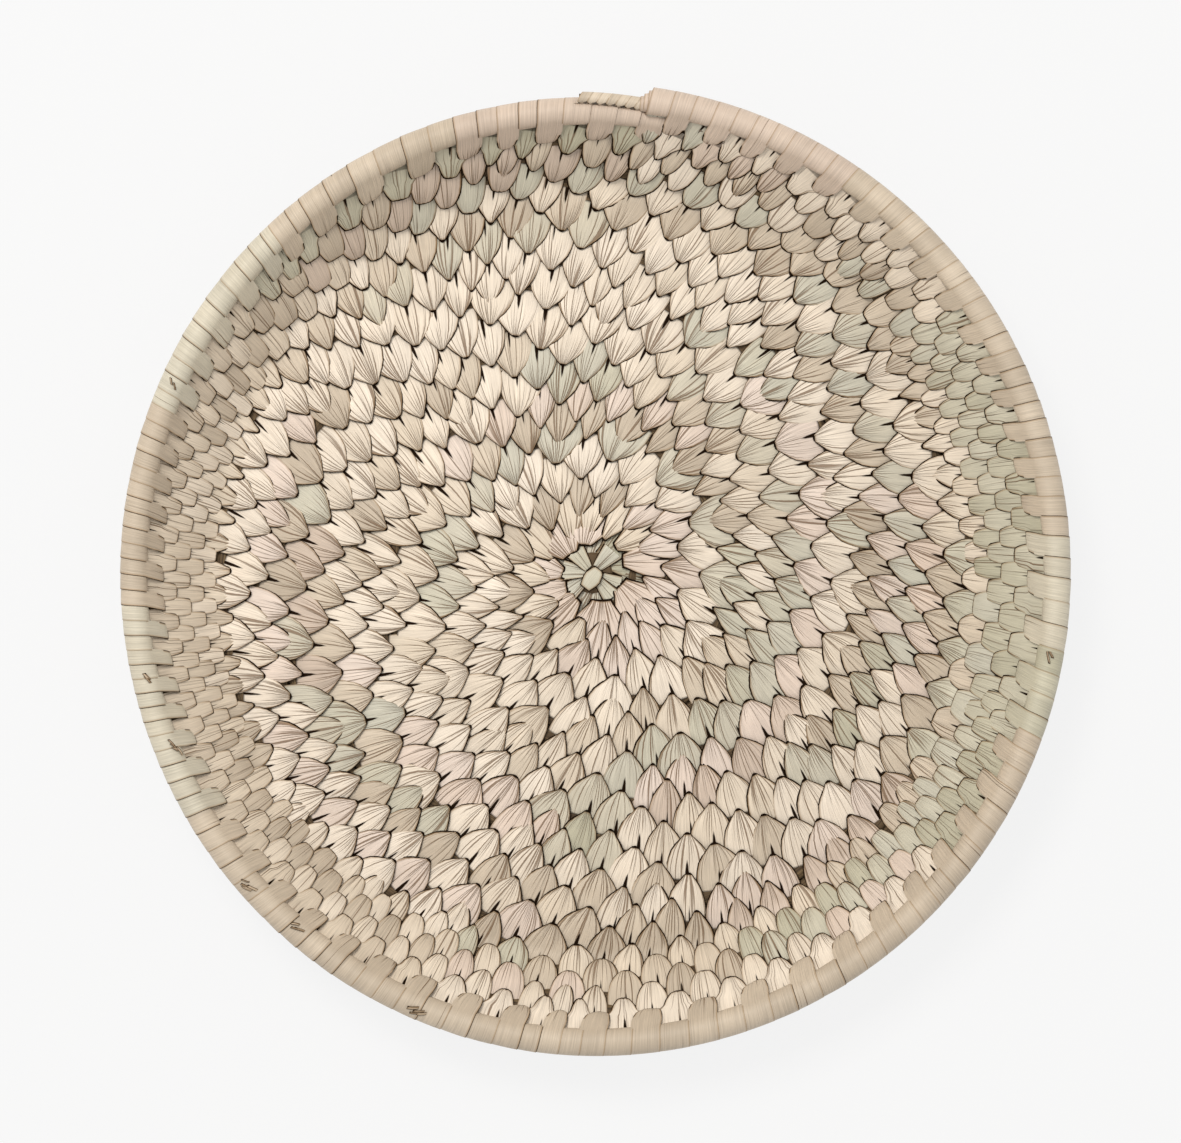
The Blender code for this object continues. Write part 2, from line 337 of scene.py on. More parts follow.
def in_stretch(angle, stretches):
    """Whether a place along the coil lies in one of some stretches."""
    turn = angle / math.tau
    bearing = math.degrees(LAP_ANGLE + angle)
    for first, last, start, end in stretches:
        if first <= turn < last + 0.5 and (bearing - start) % 360 <= end - start:
            return True
    return False


def share_strips(stitches):
    """Gives the stitches their leaf: runs of a few are sewn with one strip."""
    left, tone, slot, inside = 0, 0, "cream", False
    for stitch in stitches:
        entered = in_stretch(stitch.angle, GREEN_STRETCHES) != inside
        if left == 0 or entered:
            inside = in_stretch(stitch.angle, GREEN_STRETCHES)
            left = chance.randint(*STRIP_STITCHES)
            tone = chance.random()
            green = GREEN_SHARE if inside else STRAY_GREEN_SHARE
            pink = PINK_SHARE
            if stitch.angle > FLOOR_ANGLE and eastward(stitch.angle) < -0.5:
                green, pink = 0, 0
            if stitch.angle < CREAM_RINGS:
                green = 1 if stitch.first_turn else 0
            draw = chance.random()
            slot = "green" if draw < green else "pink" if draw < green + pink * (1 - green) else "cream"
        stitch.slot = slot
        # From half a turn up the wall on, the strips take darker tones
        wall_tone_scale = WALL_TONE_SHARE if stitch.angle > FLOOR_ANGLE + math.pi else 1
        stitch.tone = held((tone + chance.uniform(-TONE_SPREAD, TONE_SPREAD)) * wall_tone_scale)
        left -= 1


# Modelling
def only(thing):
    """Leaves one object selected and active."""
    bpy.ops.object.select_all(action="DESELECT")
    thing.select_set(True)
    bpy.context.view_layer.objects.active = thing


@dataclass
class LeafGrid:
    """A flat strip: where each corner lies across and along it, its faces, which of them are its top,
    and which corners are its belly."""

    across: np.ndarray
    station: np.ndarray
    faces: list
    top: list
    belly: np.ndarray


def leaf_grid(columns, stations):
    """One flat strip: a grid across and along it, closed at both ends and below, where one more row of
    corners is its belly."""
    bpy.ops.object.select_all(action="DESELECT")
    bpy.ops.mesh.primitive_grid_add(x_subdivisions=columns, y_subdivisions=stations - 1, size=2)
    strip = bpy.context.object
    only(strip)
    edges = strip.data.edges
    places = [vert.co for vert in strip.data.vertices]
    close = 0.001
    bpy.ops.object.mode_set(mode="EDIT")
    bpy.ops.mesh.select_mode(type="EDGE")
    bpy.ops.mesh.select_all(action="DESELECT")
    bpy.ops.object.mode_set(mode="OBJECT")
    for edge in edges:
        low, high = (places[vert] for vert in edge.vertices)
        edge.select = abs(low.x - high.x) < close and abs(low.x) > 1 - close
    bpy.ops.object.mode_set(mode="EDIT")
    bpy.ops.mesh.bridge_edge_loops(number_cuts=1)
    for end in (-1, 1):
        bpy.ops.mesh.select_all(action="DESELECT")
        bpy.ops.object.mode_set(mode="OBJECT")
        for edge in strip.data.edges:
            low, high = (strip.data.vertices[vert].co for vert in edge.vertices)
            edge.select = max(abs(low.y - end), abs(high.y - end)) < close
        bpy.ops.object.mode_set(mode="EDIT")
        bpy.ops.mesh.edge_face_add()
    bpy.ops.object.mode_set(mode="OBJECT")
    across = np.array([vert.co.x for vert in strip.data.vertices])
    along = np.array([vert.co.y for vert in strip.data.vertices])
    station = np.rint((along + 1) / 2 * (stations - 1)).astype(int)
    faces = [tuple(face.vertices) for face in strip.data.polygons]
    belly = np.arange(len(across)) >= (columns + 1) * stations
    top = [len(set(station[list(face)])) == 2 and not belly[list(face)].any() for face in faces]
    bpy.data.meshes.remove(strip.data)
    return LeafGrid(across, station, faces, top, belly)


class Weave:
    """Strips gathered into one piece, with what their finish needs to know at each corner."""

    def __init__(self, name, slot):
        self.name, self.slot = name, slot
        self.points, self.faces, self.smooth, self.strand = [], [], [], []
        self.looks = {look: [] for look in LOOKS}
        self.count = 0

    def add(self, grid, points, strand, looks, flip=False):
        """Adds one strip. flip turns its faces round, for a strip laid on the underside."""
        for face, rounded in zip(grid.faces, grid.top):
            corners = [self.count + corner for corner in face]
            self.faces.append(corners[::-1] if flip else corners)
            self.smooth.append(rounded)
        self.points.append(points)
        self.strand.append(strand)
        for look in LOOKS:
            self.looks[look].append(np.broadcast_to(looks.get(look, 0), len(points)))
        self.count += len(points)

    def finish(self, material, replaced=()):
        """Makes the piece's object."""
        mesh = bpy.data.meshes.new(self.name)
        mesh.from_pydata(np.concatenate(self.points).tolist(), [], self.faces)
        mesh.polygons.foreach_set("use_smooth", self.smooth)
        corners = np.zeros(len(mesh.loops), int)
        mesh.loops.foreach_get("vertex_index", corners)
        strand = np.concatenate(self.strand)[corners]
        mesh.uv_layers.new(name="strand").data.foreach_set("uv", strand.ravel())
        for look, values in self.looks.items():
            layer = mesh.attributes.new(look, "FLOAT", "POINT")
            layer.data.foreach_set("value", np.concatenate(values))
        mesh.materials.append(material)
        mesh.update()
        mesh.set_sharp_from_angle(angle=SHARP_ANGLE)
        piece = bpy.data.objects.new(self.name, mesh)
        bpy.context.scene.collection.objects.link(piece)
        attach(piece, "root")
        if replaced:
            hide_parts(*replaced)
        return piece


def bluntness(angle):
    """From 0 where the tips are pinched to 1 where the strips lie flat and square: round the knot, and
    most of all at the sides of the wall."""
    reach = coil_reach(angle) - ROW_PITCH
    up = held((reach - FLOOR_RADIUS + BLUNT_START) / BLUNT_REACH)
    east = eastward(angle)
    sides = WEST_BLUNT_SHARE * max(-east, 0) ** 1.5 + EAST_BLUNT_SHARE * max(east, 0) ** 1.5
    round_knot = 1.1 * (1 - angle / (4 * math.tau))
    return max(up * (BLUNT_SHARE + sides), round_knot)


def strand_of(across, along):
    """Where each corner lies on its leaf, in mm, from a spot on the leaf drawn by chance."""
    offset = np.array([chance.uniform(0, STRAND_SHIFT_MM), chance.uniform(0, STRAND_SHIFT_MM)])
    return np.stack((across, along), axis=-1) / MM + offset


def stitch_half(stitch, blunt):
    """Half of a stitch's greatest width."""
    widest = WIDEST_SHARE + (WALL_WIDEST_SHARE - WIDEST_SHARE) * blunt * stitch.on_wall
    half = stitch.spacing * widest * (1 + OFF_WIDENING * stitch.off) * chance.uniform(*WIDTH_SPREAD)
    half *= 1 + CENTRE_WIDENING * max(1 - stitch.angle / (CENTRE_TURNS * math.tau), 0)
    half *= 1 - WALL_NARROWING * stitch.on_wall * northward(stitch.angle) ** 2
    past_fold = (stitch.angle - FLOOR_ANGLE) / math.tau - FOLD_TURNS
    return half * (1 + FOLD_WIDENING * math.exp(-(past_fold**2)))


def stitch_lift(stitch, grid, along, blunt):
    """How far a stitch stands off the surface at each corner, and how deeply it is slit."""
    across, station = grid.across, grid.station
    rise = np.array(RISE_SHARES) * (1 - blunt) + np.array(FLAT_RISE_SHARES) * blunt
    rise = rise[station] * BUNDLE_HALF * (START_RISE_SHARE if stitch.first_turn else 1)
    rise = rise + chance.uniform(*RISE_SPREAD) * BUNDLE_HALF * np.sin(along * math.pi)
    if stitch.under_roll:
        rise = np.maximum(rise, UNDER_ROLL_SHARE * BUNDLE_HALF)
    drop = np.array(DROP_SHARES)[station] * BUNDLE_HALF
    drop = drop * (1 - 0.75 * blunt) * np.abs(across) ** EDGE_POWER
    folds = [(-1) ** (place + 1) * chance.uniform(*PLEAT_DEPTHS) for place in range(PLEAT_COLUMNS)]
    column = np.rint((across + 1) / 2 * (PLEAT_COLUMNS - 1)).astype(int)
    pleat = np.array(PLEAT_SHARES)[station] * BUNDLE_HALF * np.array(folds)[column]
    pleat = pleat * (1 - 0.85 * blunt) * (1 - across**2)
    cut = chance.uniform(*CUT_DEPTHS)
    beside = np.clip(1 - np.abs(across) / 0.4, 0, 1)
    notch = np.array(NOTCH_SHARES)[station] * BUNDLE_HALF * cut * beside * (1 - 0.8 * blunt)
    return rise - drop + pleat - notch - STITCH_DEPTH * grid.belly, cut


def stitch_looks(stitch, grid, along, width, ahead, blunt, cut, side):
    """What a stitch's finish needs to know at each corner."""
    across = grid.across
    top_wall = stitch.on_wall * max(northward(stitch.angle), 0)
    from_light = max(eastward(stitch.angle + LIGHT_TURN), 0)
    tip = np.clip(1 - ahead / TIP_LENGTH, 0, 1)
    # The dark line in the gap at the folded edge is painted shadow: wider at the tip, on the north wall,
    # and in the south-east, away from the light
    shadow_line = 0.85 * tip - 0.2 - 0.65 * blunt * stitch.on_wall + 0.35 * top_wall
    shadow_line = shadow_line + 0.22 * from_light * (1 - blunt) + chance.uniform(-0.22, 0.22) * across
    # Painted shade where the strip's end dives into the weave, and, on the last row, under the rim roll,
    # deeper on the north wall
    tuck_shade = ramp(along, 0.84, 0.16) * 0.85
    if side > 0 and stitch.under_roll:
        tuck_shade = ramp(along, 0.70, 0.1) * (0.45 + 0.33 * top_wall)
    # The slit's mask, into which the material paints shade
    beside = np.clip(1 - np.abs(across) / 0.25, 0, 1)
    return {
        "tone": stitch.tone,
        "tuck_shade": tuck_shade,
        "edge": np.minimum((1 - np.abs(across)) * width, ahead) / MM - shadow_line,
        "crease": np.clip(1 - ahead / CREASE_LENGTH, 0, 1) * (1 - blunt * stitch.on_wall) ** 1.5,
        "slit": np.array(SLIT_SHARES)[grid.station] * beside * min(cut, 1) * (1 - 0.15 * blunt),
    }


def sew(stitch, grid, weave, side):
    """Lays one stitch over its two rows, on the inside (side 1) or the underside (side -1)."""
    across, station = grid.across, grid.station
    blunt = held(bluntness(stitch.angle) + chance.uniform(-BLUNT_SPREAD, BLUNT_SPREAD))
    half = stitch_half(stitch, blunt)
    astray = chance.uniform(-LEAN_SPREAD_RADIANS, LEAN_SPREAD_RADIANS)
    lean = lean_at(stitch.angle) + astray * (1 - 0.4 * blunt)
    if side < 0:
        lean += UNDERSIDE_LEAN
    reach = coil_reach(stitch.angle) - ROWS_BACK * ROW_PITCH
    first = max(reach, KNOT_REACH if stitch.first_turn else FIRST_RING_REACH)
    rows = SEWN_ROWS * ROW_PITCH - (first - reach)
    length = rows / math.cos(lean) * (1 + chance.uniform(-LENGTH_SPREAD, LENGTH_SPREAD))
    shares = [np.array(table)[station] for table in (STATION_SHARES, PINCHED_SHARES, BLUNT_SHARES)]
    along, pinched, square = shares
    fan = np.clip((first + along * rows) / (reach + ROW_PITCH), *FAN_SHARES)
    width = half * (pinched * (1 - blunt) + square * blunt) * fan
    if stitch.under_roll:
        width = width * (1 + UNDER_ROLL_SPREAD * ramp(along, 0.38, 0.17))
    skew = 1 + chance.uniform(-SKEW_SPREAD, SKEW_SPREAD) * across * (1 - 0.6 * blunt)
    sideways = across * width * skew + chance.uniform(-TIP_SHIFT, TIP_SHIFT) * (1 - along) ** 2
    rounding = TIP_ROUNDING * (1 - blunt)
    ahead = along * length + rounding * length * across**2 * np.maximum(1 - along / 0.35, 0)
    lift, cut = stitch_lift(stitch, grid, along, blunt)
    if side < 0:
        lift = -np.clip(lift * UNDERSIDE_SHARE, 0, FOOT_DEPTH - FOOT_CLEARANCE)
    out = ahead * math.cos(lean) + sideways * math.sin(lean)
    aside = -ahead * math.sin(lean) + sideways * math.cos(lean)
    middle = max(first + rows / 3, NEAREST_MIDDLE)
    bearing = LAP_ANGLE + stitch.angle + aside / np.maximum(first + out, middle / 2)
    points = surface(bearing, first + out, lift)
    strand = strand_of(across * half, ahead)
    looks = stitch_looks(stitch, grid, along, width, ahead, blunt, cut, side)
    weave.add(grid, points, strand, looks, side < 0)


# Finishes
def hex_colour(code):
    """An sRGB hex colour as linear RGBA."""
    channels = [int(code[start : start + 2], 16) / 255 for start in (1, 3, 5)]
    linear = [c / 12.92 if c <= 0.04045 else ((c + 0.055) / 1.055) ** 2.4 for c in channels]
    return (*linear, 1)


def add_node(tree, kind, inputs=None, stops=None, **settings):
    """Adds a node with its settings, a ramp's stops, and values or links for its inputs."""
    node = tree.nodes.new("ShaderNode" + kind)
    for name, value in settings.items():
        setattr(node, name, value)
    if stops:
        elements = node.color_ramp.elements
        while len(elements) < len(stops):
            elements.new(0.5)
        for element, (position, colour) in zip(elements, stops):
            element.position = position
            element.color = hex_colour(colour)
    for name, value in (inputs or {}).items():
        if isinstance(value, bpy.types.NodeSocket):
            tree.links.new(value, node.inputs[name])
        else:
            node.inputs[name].default_value = value
    return node


# The scale of the leaf's and the ribs' grain, and how deep it is
VEIN_SPACING_MM = 0.45
VEIN_LENGTH_MM = 22
CREASE_SPACING_MM = 0.62
CREASE_DRAW_MM = 70
RIB_SPACING_MM = 0.8
RIB_LENGTH_MM = 40
MOTTLES_PER_METRE = 60
LEAF_RELIEF = 0.3 * MM
RIB_RELIEF = 0.4 * MM
LEAF_ROUGHNESS = 0.5
RIB_ROUGHNESS = 0.8


def map_range(tree, value, start, end, low, high):
    """The stretch of a value from start to end, turned into one from low to high."""
    inputs = {"Value": value, "From Min": start, "From Max": end, "To Min": low, "To Max": high}
    return add_node(tree, "MapRange", inputs).outputs[0]


def work_out(tree, operation, first, second, **settings):
    """One value worked out from two."""
    inputs = {0: first, 1: second}
    return add_node(tree, "Math", inputs, operation=operation, **settings).outputs[0]


def mix_colour(tree, share, first, second):
    """The second colour over the first, by a share."""
    inputs = {"Factor": share, "A": first, "B": second}
    return add_node(tree, "Mix", inputs, data_type="RGBA").outputs["Result"]


def noise(tree, place, scale, detail, roughness):
    """Soft noise over a place."""
    inputs = {"Vector": place, "Scale": scale, "Detail": detail, "Roughness": roughness}
    return add_node(tree, "TexNoise", inputs).outputs["Fac"]


def streaks(tree, strand, spacing, length, detail, roughness):
    """Noise drawn out along a strip, in streaks of a spacing and a length in mm."""
    drawn = add_node(tree, "Mapping", {"Vector": strand, "Scale": (1 / spacing, 1 / length, 1)})
    return noise(tree, drawn.outputs[0], 1, detail, roughness)


def new_material(name, roughness):
    """An empty material, with its nodes and its shader."""
    material = bpy.data.materials.new(name)
    material.use_nodes = True
    tree = material.node_tree
    shader = tree.nodes["Principled BSDF"]
    shader.inputs["Roughness"].default_value = roughness
    shader.inputs["IOR"].default_value = 1.45
    return material, tree, shader


def palm_leaf(name, tones):
    """Split palm leaf, dried in the sun and sewn by hand: fine veins run along each strip, creases fan out
    from its pinched tip, and painted shade browns its creases, the gaps at its folded edges, its slits and
    its buried end."""
    material, tree, shader = new_material(name, LEAF_ROUGHNESS)
    strand = add_node(tree, "UVMap", uv_map="strand").outputs[0]
    tone, tuck_shade, edge, crease, slit = (
        add_node(tree, "Attribute", attribute_name=look).outputs["Fac"] for look in LOOKS
    )
    stops = [(place / (len(tones) - 1), code) for place, code in enumerate(tones)]
    base = add_node(tree, "ValToRGB", {"Fac": tone}, stops=stops).outputs["Color"]
    veins = streaks(tree, strand, VEIN_SPACING_MM, VEIN_LENGTH_MM, 3, 0.6)
    vein_share = map_range(tree, veins, 0.3, 0.7, 0.80, 1.12)
    # Creases are wide at the tip and drawn out to nothing, and their dark brown is painted shade in the
    # folds
    folds = streaks(tree, strand, CREASE_SPACING_MM, CREASE_DRAW_MM, 1, 0.4)
    depth = add_node(tree, "Math", {0: crease, 1: -0.15, 2: folds}, operation="MULTIPLY_ADD")
    shade = map_range(tree, depth.outputs[0], 0.37, 0.29, 0, 0.8)
    # Mottling from spot to spot, a centimetre or two across
    mottle = noise(tree, add_node(tree, "TexCoord").outputs["Object"], MOTTLES_PER_METRE, 2, 0.5)
    mottle_share = map_range(tree, mottle, 0.3, 0.7, 0.93, 1.05)
    level = work_out(tree, "MULTIPLY", vein_share, mottle_share)
    grain = add_node(tree, "VectorMath", {0: base, "Scale": level}, operation="SCALE")
    crease_shaded = mix_colour(tree, shade, grain.outputs[0], hex_colour("#6E5030"))
    # The strip browns towards its edges, partly in its own colour and partly as painted shade, widening
    # where the painted shadow line widens
    edge_brown_and_shade = map_range(tree, edge, 0.4, 1.2, 0.6, 0)
    browned_and_shaded = mix_colour(tree, edge_brown_and_shade, crease_shaded, hex_colour("#94703F"))
    # Painted shade as dark lines: the shadow in the gap at the strip's folded edge, the slit that the next
    # tip opens, and the end buried in the weave
    edge_shadow_line = map_range(tree, edge, 0.2, 0.5, 1, 0)
    slit_shadow_line = map_range(tree, slit, 0.60, 0.72, 0, 1)
    buried_shade = map_range(tree, tuck_shade, 0.6, 0.85, 0, 1)
    shadow_lines = work_out(tree, "MAXIMUM", edge_shadow_line, slit_shadow_line)
    painted_shade = work_out(tree, "MAXIMUM", shadow_lines, buried_shade, use_clamp=True)
    colour = mix_colour(tree, painted_shade, browned_and_shaded, hex_colour("#21160D"))
    tree.links.new(colour, shader.inputs["Base Color"])
    # A gap reflects nothing: where shade is painted the reflection is turned down too, so the painted
    # darkness isn't greyed by the white surroundings
    sheen = map_range(tree, painted_shade, 0, 1, 0.5, 0)
    tree.links.new(sheen, shader.inputs["Specular IOR Level"])
    relief = work_out(tree, "SUBTRACT", veins, shade)
    bump = add_node(tree, "Bump", {"Height": relief, "Strength": 0.9, "Distance": LEAF_RELIEF})
    tree.links.new(bump.outputs[0], shader.inputs["Normal"])
    return material


LEAVES = {
    "cream": palm_leaf("cream_palm_leaf", ("#C2B29D", "#DECEB8", "#EEE0CE", "#E9DAC6")),
    "pink": palm_leaf("pink_palm_leaf", ("#CAB7A5", "#DAC6B4", "#E5D4C6", "#DEC9B7")),
    "green": palm_leaf("green_palm_leaf", ("#B9B39B", "#CBC4AF", "#C8C3B2", "#D0C6B1")),
}


def sewn_floor_and_wall():
    """All the stitches, gathered by leaf colour and by where they lie."""
    grid = leaf_grid(PLEAT_COLUMNS - 1, len(STATION_SHARES))
    stitches = plan_stitches()
    share_strips(stitches)
    weaves = {}
    for stitch in stitches:
        zone = "floor" if stitch.angle < FLOOR_ANGLE else "wall"
        key = (zone, stitch.slot)
        if key not in weaves:
            weaves[key] = Weave(f"{zone}_stitches_{stitch.slot}", stitch.slot)
        for side in (1, -1):
            sew(stitch, grid, weaves[key], side)
    for weave in weaves.values():
        weave.finish(LEAVES[weave.slot])
    return stitches


stitches = sewn_floor_and_wall()


def leaf_ribs():
    """A bunch of dried leaf ribs: brown fibres that run along the bundle, dark partly as their own colour
    and partly as painted shade for the gaps where they show.
    """
    material, tree, shader = new_material("dried_leaf_ribs", RIB_ROUGHNESS)
    strand = add_node(tree, "UVMap", uv_map="strand").outputs[0]
    ribs = streaks(tree, strand, RIB_SPACING_MM, RIB_LENGTH_MM, 3, 0.5)
    # The ribs' dark browns stand partly for the shade in the gaps between stitches
    stops = [(0.3, "#32261A"), (0.5, "#5C4932"), (0.75, "#86704F")]
    colour = add_node(tree, "ValToRGB", {"Fac": ribs}, stops=stops)
    tree.links.new(colour.outputs["Color"], shader.inputs["Base Color"])
    bump = add_node(tree, "Bump", {"Height": ribs, "Distance": RIB_RELIEF})
    tree.links.new(bump.outputs[0], shader.inputs["Normal"])
    return material


# The bundle, which its sewing flattens, so that it stays hidden behind the stitches
RIBS = leaf_ribs()
BUNDLE_TURN_POINTS = 60
BUNDLE_SIDES = 10
SEWN_HALF = 4.0 * MM
SEWN_RISE = 1.9 * MM
SEWN_DEPTH = 1.6 * MM
TAIL_POINTS = 8


def rope(name, path, replaced):
    """A round bunch of ribs through places along the coil, closed at both ends. Each place is its
    angle, its reach and the section's half width, rise and depth."""
    points, faces, strand = [], [], []
    for angle, reach, wide, above, below in path:
        for side in range(BUNDLE_SIDES):
            turn = math.tau * side / BUNDLE_SIDES
            up = math.sin(turn)
            lift = up * (above if up > 0 else below)
            points.append(surface(LAP_ANGLE + angle, reach + wide * math.cos(turn), lift))
            strand.append((turn * wide / MM, angle * reach / MM))
    for step in range(len(path) - 1):
        for side in range(BUNDLE_SIDES):
            low, high = step * BUNDLE_SIDES, (step + 1) * BUNDLE_SIDES
            beside = (side + 1) % BUNDLE_SIDES
            faces.append((low + side, low + beside, high + beside, high + side))
    last = (len(path) - 1) * BUNDLE_SIDES
    faces.append(tuple(range(BUNDLE_SIDES)))
    faces.append(tuple(last + side for side in reversed(range(BUNDLE_SIDES))))
    mesh = bpy.data.meshes.new(name)
    mesh.from_pydata([tuple(point) for point in points], [], faces)
    mesh.polygons.foreach_set("use_smooth", [True] * len(faces))
    corners = np.zeros(len(mesh.loops), int)
    mesh.loops.foreach_get("vertex_index", corners)
    mesh.uv_layers.new(name="strand").data.foreach_set("uv", np.array(strand)[corners].ravel())
    mesh.materials.append(RIBS)
    piece = bpy.data.objects.new(name, mesh)
    bpy.context.scene.collection.objects.link(piece)
    only(piece)
    bpy.ops.object.mode_set(mode="EDIT")
    bpy.ops.mesh.select_all(action="SELECT")
    bpy.ops.mesh.normals_make_consistent(inside=False)
    bpy.ops.object.mode_set(mode="OBJECT")
    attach(piece, "root")
    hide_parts(*replaced)


def bundle_path(start, end):
    """Places along some turns of the coil."""
    steps = round((end - start) / math.tau * BUNDLE_TURN_POINTS)
    angles = [start + (end - start) * step / steps for step in range(steps + 1)]
    return [(angle, coil_reach(angle), SEWN_HALF, SEWN_RISE, SEWN_DEPTH) for angle in angles]


def roll_half(angle):
    """Half width of the rim roll with its strips on, which swells up from its start."""
    return BUNDLE_HALF + (ROLL_HALF - BUNDLE_HALF) * swell_at(angle) + WRAP_DEPTH


def tail_place(angle):
    """The tail's reach and half width, laid on the roll below it and thinned to its tip."""
    along = min((angle - ROLL_END_ANGLE) / TAIL_ANGLE, 1)
    half = TAIL_HALF + (TAIL_TIP_HALF - TAIL_HALF) * along
    return coil_reach(angle - math.tau) + roll_half(angle - math.tau) + half + SEAT_CLEARANCE, half


def rim_path():
    """Places along the roll and then the tail."""
    steps = 2 * BUNDLE_TURN_POINTS
    path = []
    for step in range(steps + 1):
        angle = COIL_ANGLE + math.tau * step / steps
        half = roll_half(angle) - WRAP_DEPTH - CORE_CLEARANCE
        path.append((angle, coil_reach(angle), half, half, half))
    for step in range(1, TAIL_POINTS + 1):
        angle = ROLL_END_ANGLE + TAIL_ANGLE * step / TAIL_POINTS
        reach, half = tail_place(angle)
        path.append((angle, reach, half, half, half))
    return path


rope("floor_bundle", bundle_path(0, FLOOR_ANGLE), ("floor_coil",))
rope("wall_bundle", bundle_path(FLOOR_ANGLE, COIL_ANGLE), ("wall_coil",))
rope("rim_bundle", rim_path(), ("rim_core",))


# The rim's wraps
@dataclass
class Wrap:
    """One wrap of a strip: where it is, whether it runs down the wall too, and what it winds round."""

    angle: float
    half: float
    tab: bool
    radius: float
    reach: float
    tone: float = 0.5
    lead: float = ROLL_LEAD_SHARE
    taper: float = 0
    hole: float = 0
    step: float = 0


def wrap_way(tab):
    """A wrap's way round the roll, as shares of the roll's half width: out, up and how far along."""
    turn = LEG_TURN if tab else math.pi
    turns = np.linspace(turn, -turn, OVER_STEPS if tab else ROUND_STEPS)
    out, up = np.cos(turns), np.sin(turns)
    if tab:
        leg_out, leg_up = np.array(LEG_OUT_SHARES), np.array(LEG_LIFT_SHARES)
        out = np.concatenate((-leg_out, out, -leg_out[::-1]))
        up = np.concatenate((leg_up, up, -leg_up[::-1]))
    way = np.concatenate(([0], np.cumsum(np.hypot(np.diff(out), np.diff(up)))))
    middle = LEG_STEPS if tab else 0
    way -= way[middle] + turn - TOP_TURN
    return out, up, way


def wind(wrap, grid, weave):
    """Lays one wrap round the roll. A tab runs down both sides of the wall as well."""
    across, station, belly = grid.across, grid.station, grid.belly
    out, up, way = (shares[station] for shares in wrap_way(wrap.tab))
    blunt = held(bluntness(wrap.angle) + chance.uniform(-BLUNT_SPREAD, BLUNT_SPREAD))
    wide = np.ones(len(station))
    leg = np.zeros(len(station))
    if wrap.tab:
        last = station.max()
        from_tip = np.minimum(station, last - station)
        near = np.minimum(from_tip, LEG_STEPS - 1)
        shape = np.array(LEG_PINCHED_SHARES) * (1 - blunt) + np.array(LEG_BLUNT_SHARES) * blunt
        wide = np.where(from_tip < LEG_STEPS, shape[near], wide)
        leg = np.clip(1 - from_tip / LEG_STEPS, 0, 1)
    east = eastward(wrap.angle)
    often = 0.2 + 0.4 * max(-east, 0) + 0.2 * max(east, 0)
    dark = chance.random() < (0 if wrap.step else often)
    step = wrap.step or chance.uniform(*(DARK_STEPS if dark else LIGHT_STEPS))
    skin = -SKIN_CROWN * across**2 + step * across + chance.uniform(-SKIN_SPREAD, SKIN_SPREAD)
    scale = wrap.radius * (1 - wrap.taper * (across + 1) / 2) + skin * (1 - 0.6 * leg)
    scale = scale - WRAP_BELLY * belly * (1 - leg)
    drop = np.sign(up) * leg * np.abs(across) ** EDGE_POWER * LEG_DROP * (1 - 0.85 * blunt)
    folds = [chance.uniform(-1, 1) for _ in range(PLEAT_COLUMNS)]
    column = np.rint((across + 1) / 2 * (PLEAT_COLUMNS - 1)).astype(int)
    pleat = np.sign(up) * np.array(folds)[column] * leg * LEG_PLEAT * (1 - 0.9 * blunt)
    half_round = math.pi / 2
    over = np.clip(way, -half_round, half_round)
    leg_lead = LEG_LEAD_SHARE / ROLL_LEAD_SHARE * wrap.lead
    slant = (wrap.lead * over + leg_lead * (way - over)) * wrap.radius
    from_hole = (np.degrees(np.arctan2(up, out)) - HOLE_TURN) / HOLE_SPREAD
    hole = np.exp(-(from_hole**2)) * wrap.hole
    sideways = across * wrap.half * wide * (1 - hole) - slant
    reach = wrap.reach + out * scale + sideways / ROLL_RADIUS * ROW_PITCH / math.tau
    lift = up * scale - drop + pleat - np.sign(up) * WRAP_BELLY * belly * leg
    bearing = LAP_ANGLE + wrap.angle + sideways / ROLL_RADIUS
    points = surface(bearing, reach, lift)
    strand = strand_of(across * wrap.half, way * wrap.radius)
    # On the roll a painted shadow line lies along one edge of a wrap, in the gap beside the next, and on
    # the wall round the whole tab and across its tip, wider on the north side and darkened round the tail's
    # holes; the creases on a tab's legs are painted shade too
    edge = (1 - across) * wrap.half / MM + (0.1 if dark else 0.36) - 1.6 * hole
    side_edge = (1 - np.abs(across)) * wrap.half / MM - 0.35 * max(northward(wrap.angle), 0)
    edge = np.where(leg > 0.3, side_edge, edge)
    if wrap.tab:
        edge = np.where(from_tip == 0, -0.6, edge)
    looks = {
        "tone": held(wrap.tone + chance.uniform(-0.08, 0.08)),
        "edge": edge,
        "crease": leg * 1.4 * (1 - 0.7 * blunt) - 0.6,
    }
    weave.add(grid, points, strand, looks)


# How the rim's strips look in the photograph, counter-clockwise from the lap: leaf and tone
STRIP_SLOTS = (
    "pink", "cream", "green", "cream", "green", "cream", "cream",
    "cream", "cream", "cream", "green", "cream", "cream", "pink",
)
STRIP_TONES = (0, 0.05, 0.9, 0, 0.95, 0.05, 0.02, 0.02, 0, 0, 0.95, 0.08, 0.1, 0.1)

# Where a green strip is darker than over the rest of its length, in degrees
GREEN_PATCH = (339.4, 351.4)
GREEN_PATCH_TONE = 0.1

# The last wraps before the roll's end
CLOSING_SPACING = 5.5 * MM
CLOSING_REACH = 3 * MM
CLOSING_HALF = 4 * MM

# The narrow wraps that close the step down to the tail: how far each lies beyond the roll's end, its
# radius, its taper and how far it has moved over to the tail
SHOULDER_HALF = 1.5 * MM
SHOULDER_TAIL = 5 * MM
SHOULDER_WRAPS = (
    (1.0 * MM, 5.6 * MM, 0.10, 0),
    (2.8 * MM, 5.1 * MM, 0.16, 0.1),
    (4.5 * MM, 4.3 * MM, 0.20, 0.45),
    (6.0 * MM, 3.5 * MM, 0.15, 0.85),
)


